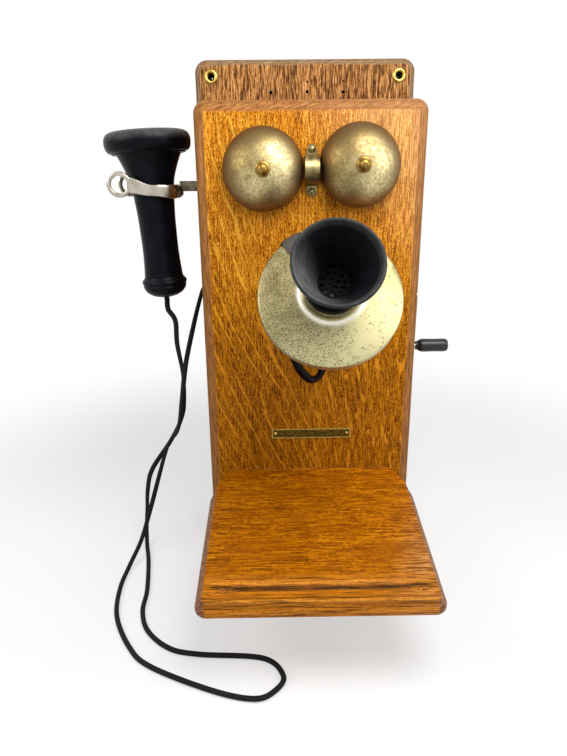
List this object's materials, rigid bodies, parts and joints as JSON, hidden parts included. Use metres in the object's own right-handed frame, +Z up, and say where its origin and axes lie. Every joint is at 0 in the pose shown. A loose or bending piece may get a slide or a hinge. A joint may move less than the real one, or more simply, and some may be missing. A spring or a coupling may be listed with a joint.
{
  "type": "magneto wall telephone",
  "caption": "Oak magneto wall telephone with bells, tilting transmitter, corded receiver on a forked hook, crank handle and sloping writing shelf.",
  "frame": {"origin": "centre of the backboard's bottom face, on which the telephone stands", "axes": "+Z up, the front looks towards -Y, +X to the viewer's right, +Y into the wall"},
  "size_m": [0.3389, 0.3102, 0.491],
  "materials": {
    "oak": "satin",
    "dark_oak": "satin",
    "brass": "satin",
    "bell_metal": "satin",
    "nickel": "satin",
    "steel": "satin",
    "black_iron": "satin",
    "red_magnet": "satin",
    "hard_rubber": "satin",
    "braid": "matte",
    "winding": "matte"
  },
  "bodies": {
    "case": {"backboard": "oak", "grommets": "brass", "case_left": "oak", "case_right": "oak", "case_top": "oak", "case_bottom": "oak", "hinge_leaves_case": "brass", "hinge_pins": "brass", "slot_plate": "nickel", "hook_bracket": "steel", "hook_pin": "brass", "contact_springs": "brass", "contact_insulators": "hard_rubber", "generator_shelf": "oak", "generator_magnets": "red_magnet", "pole_pieces": "black_iron", "generator_plates": "brass", "crank_bushing": "brass", "induction_winding": "winding", "induction_ends": "dark_oak", "terminal_strip": "dark_oak", "terminal_screws": "brass", "cord_bushing": "hard_rubber", "catch_clip": "brass", "receiver_cord": "braid"},
    "door": {"door_panel": "oak", "hinge_leaves_door": "brass", "shelf": "oak", "shelf_brackets": "dark_oak", "bells": "bell_metal", "bell_posts": "brass", "bell_nuts": "brass", "clapper_guard": "nickel", "guard_screws": "nickel", "nameplate": "brass", "nameplate_pins": "brass", "catch_stud": "brass", "ringer_frame": "steel", "ringer_coils": "winding", "ringer_magnet": "black_iron", "transmitter_bracket": "black_iron", "bracket_screws": "black_iron", "pivot_bolt": "steel", "transmitter_cord": "braid"},
    "clapper": {"clapper": "steel"},
    "transmitter": {"transmitter_cup": "black_iron", "face_plate": "nickel", "mouthpiece": "hard_rubber", "diaphragm": "steel", "carbon_button": "brass"},
    "hook": {"hook_lever": "nickel"},
    "receiver": {"receiver_shell": "hard_rubber", "ear_cap": "hard_rubber", "tail_cap": "hard_rubber", "receiver_magnet": "black_iron"},
    "crank": {"crank_shaft": "steel", "crank_arm": "nickel"},
    "handle": {"crank_handle": "hard_rubber"},
    "armature": {"armature": "black_iron", "armature_winding": "winding"}
  },
  "joints": [
    {"name": "door_swing", "type": "hinge", "parent": "case", "child": "door", "pos_m": [0.0922, -0.10685, 0.221], "axis": [0, 0, 1], "range_deg": [0, 90]},
    {"name": "transmitter_tilt", "type": "hinge", "parent": "door", "child": "transmitter", "pos_m": [0.0101, -0.16763, 0.26927], "axis": [1, 0, 0], "range_deg": [-15, 30], "deforming": ["transmitter_cord"]},
    {"name": "clapper_rock", "type": "hinge", "parent": "door", "child": "clapper", "pos_m": [0, -0.09, 0.361], "axis": [0, 1, 0], "range_deg": [-6, 6], "stiffness_Nm_per_rad": 0.02},
    {"name": "receiver_lift", "type": "slide", "parent": "case", "child": "receiver", "axis": [-0.0523, 0, 0.9986], "range_m": [0, 0.03]},
    {"name": "hook_swing", "type": "hinge", "parent": "case", "child": "hook", "pos_m": [-0.062, -0.07585, 0.3745], "axis": [0, 1, 0], "range_deg": [0, 8]},
    {"name": "crank_spin", "type": "hinge", "parent": "case", "child": "crank", "pos_m": [0, -0.044, 0.263], "axis": [1, 0, 0], "continuous": true},
    {"name": "handle_spin", "type": "hinge", "parent": "crank", "child": "handle", "pos_m": [0.13, -0.044, 0.211], "axis": [1, 0, 0], "continuous": true},
    {"name": "armature_spin", "type": "hinge", "parent": "case", "child": "armature", "pos_m": [0, -0.044, 0.22175], "axis": [1, 0, 0], "continuous": true}
  ],
  "couplings": [
    {"joint": "hook_swing", "follows": "receiver_lift", "rad_per_m": 4.6},
    {"joint": "armature_spin", "follows": "crank_spin", "ratio": -4}
  ]
}
